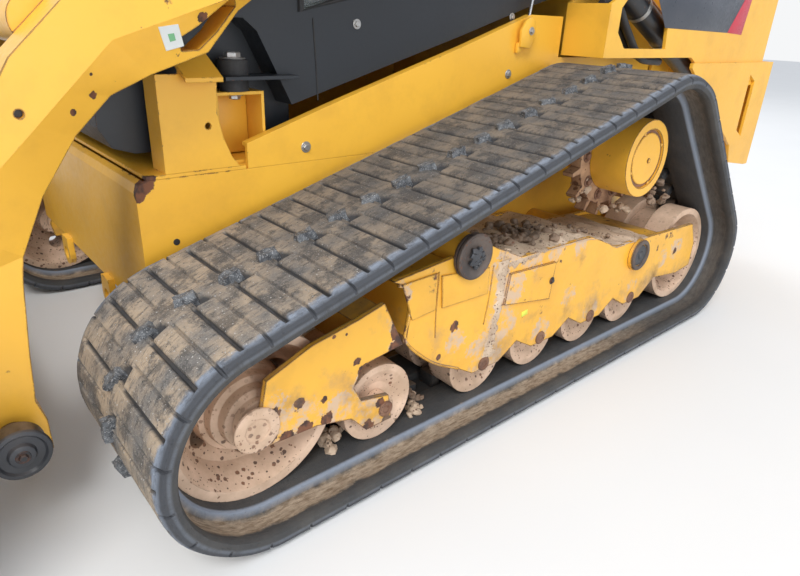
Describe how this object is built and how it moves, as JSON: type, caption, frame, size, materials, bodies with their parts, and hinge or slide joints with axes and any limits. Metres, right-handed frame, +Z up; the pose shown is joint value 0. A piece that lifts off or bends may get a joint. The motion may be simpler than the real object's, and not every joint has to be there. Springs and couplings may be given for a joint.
{
  "type": "compact track loader",
  "caption": "Compact track loader with rubber tracks, hollow cab, hinged lift arms with their cylinders, and a tilting bucket.",
  "frame": {"origin": "middle of the machine's footprint on the ground it stands on", "axes": "+Z up, the front looks along -Y, +X to the machine's left"},
  "size_m": [1.93, 3.9, 2.12],
  "materials": {
    "yellow": "satin, worn",
    "black_panel": "satin",
    "track_rubber": "matte, dusty",
    "bare_steel": "rusty",
    "chrome": "polished",
    "dark_steel": "semi gloss",
    "pad_rubber": "matte",
    "glass": "clear",
    "seat_cloth": "matte",
    "console_plastic": "satin",
    "engine_iron": "matte"
  },
  "bodies": {
    "chassis": {"track_left": "track_rubber", "track_right": "track_rubber", "idlers": "bare_steel", "rollers": "bare_steel", "track_frame_left": "yellow", "track_frame_right": "yellow", "wheel_shafts": "bare_steel", "idler_yokes": "yellow", "sprockets": "bare_steel", "final_drives": "yellow", "torsion_axles": "yellow", "lower_chassis": "yellow", "front_deck": "yellow", "side_skirts": "yellow", "arm_rests": "yellow", "cab_mounts": "yellow", "mount_pads": "pad_rubber", "rear_tower_left": "yellow", "rear_tower_right": "yellow", "rear_bumper": "yellow", "engine": "engine_iron", "cab_shell": "black_panel", "cab_roof": "black_panel", "cab_windows": "glass", "seat": "seat_cloth", "consoles": "console_plastic", "engine_housing": "yellow"},
    "lift_arms": {"lift_arms": "yellow"},
    "attachment": {"coupler": "dark_steel", "bucket": "bare_steel"},
    "cab_door": {"cab_door": "black_panel", "door_glass": "glass"},
    "hood": {"hood": "yellow"},
    "rear_door": {"rear_door": "yellow"},
    "lift_barrel_left": {"lift_barrel_left": "dark_steel"},
    "lift_rod_left": {"lift_rod_left": "chrome"},
    "tilt_barrel_left": {"tilt_barrel_left": "dark_steel"},
    "tilt_rod_left": {"tilt_rod_left": "chrome"},
    "lift_barrel_right": {"lift_barrel_right": "dark_steel"},
    "lift_rod_right": {"lift_rod_right": "chrome"},
    "tilt_barrel_right": {"tilt_barrel_right": "dark_steel"},
    "tilt_rod_right": {"tilt_rod_right": "chrome"}
  },
  "joints": [
    {"name": "lift", "type": "hinge", "parent": "chassis", "child": "lift_arms", "pos_m": [0, 1.65, 1.55], "axis": [-1, 0, 0], "range_deg": [0, 57]},
    {"name": "bucket_tilt", "type": "hinge", "parent": "lift_arms", "child": "attachment", "pos_m": [0, -1.061, 0.202], "axis": [-1, 0, 0], "range_deg": [-75, 22]},
    {"name": "cab_door_swing", "type": "hinge", "parent": "chassis", "child": "cab_door", "pos_m": [0.418, -0.803, 1.5], "axis": [0, 0, 1], "range_deg": [0, 85]},
    {"name": "hood_lift", "type": "hinge", "parent": "chassis", "child": "hood", "pos_m": [0, 0.74, 1.425], "axis": [1, 0, 0], "range_deg": [0, 55]},
    {"name": "rear_door_swing", "type": "hinge", "parent": "chassis", "child": "rear_door", "pos_m": [0.473, 1.8997, 1.15], "axis": [0, 0, -1], "range_deg": [0, 110]},
    {"name": "lift_barrel_swing_left", "type": "hinge", "parent": "chassis", "child": "lift_barrel_left", "pos_m": [0.569, 1.36, 0.8], "axis": [-1, 0, 0], "range_deg": [-2, 50]},
    {"name": "lift_rod_slide_left", "type": "slide", "parent": "lift_barrel_left", "child": "lift_rod_left", "axis": [0, -0.9126, 0.4088], "range_m": [-0.01, 0.8]},
    {"name": "tilt_barrel_swing_left", "type": "hinge", "parent": "lift_arms", "child": "tilt_barrel_left", "pos_m": [0.484, -0.7, 1], "axis": [-1, 0, 0], "range_deg": [-8, 8]},
    {"name": "tilt_rod_slide_left", "type": "slide", "parent": "tilt_barrel_left", "child": "tilt_rod_left", "axis": [0, -0.6247, -0.7809], "range_m": [-0.085, 0.29]},
    {"name": "lift_barrel_swing_right", "type": "hinge", "parent": "chassis", "child": "lift_barrel_right", "pos_m": [-0.569, 1.36, 0.8], "axis": [-1, 0, 0], "range_deg": [-2, 50]},
    {"name": "lift_rod_slide_right", "type": "slide", "parent": "lift_barrel_right", "child": "lift_rod_right", "axis": [0, -0.9126, 0.4088], "range_m": [-0.01, 0.8]},
    {"name": "tilt_barrel_swing_right", "type": "hinge", "parent": "lift_arms", "child": "tilt_barrel_right", "pos_m": [-0.484, -0.7, 1], "axis": [-1, 0, 0], "range_deg": [-8, 8]},
    {"name": "tilt_rod_slide_right", "type": "slide", "parent": "tilt_barrel_right", "child": "tilt_rod_right", "axis": [0, -0.6247, -0.7809], "range_m": [-0.085, 0.29]}
  ],
  "couplings": [
    {"joint": "lift_barrel_swing_left", "follows": "lift", "ratio": 0.76807},
    {"joint": "lift_rod_slide_left", "follows": "lift", "m_per_rad": 0.70446},
    {"joint": "tilt_barrel_swing_left", "follows": "bucket_tilt", "ratio": 0.035},
    {"joint": "tilt_rod_slide_left", "follows": "bucket_tilt", "m_per_rad": -0.20427},
    {"joint": "lift_barrel_swing_right", "follows": "lift", "ratio": 0.76807},
    {"joint": "lift_rod_slide_right", "follows": "lift", "m_per_rad": 0.70446},
    {"joint": "tilt_barrel_swing_right", "follows": "bucket_tilt", "ratio": 0.035},
    {"joint": "tilt_rod_slide_right", "follows": "bucket_tilt", "m_per_rad": -0.20427}
  ]
}
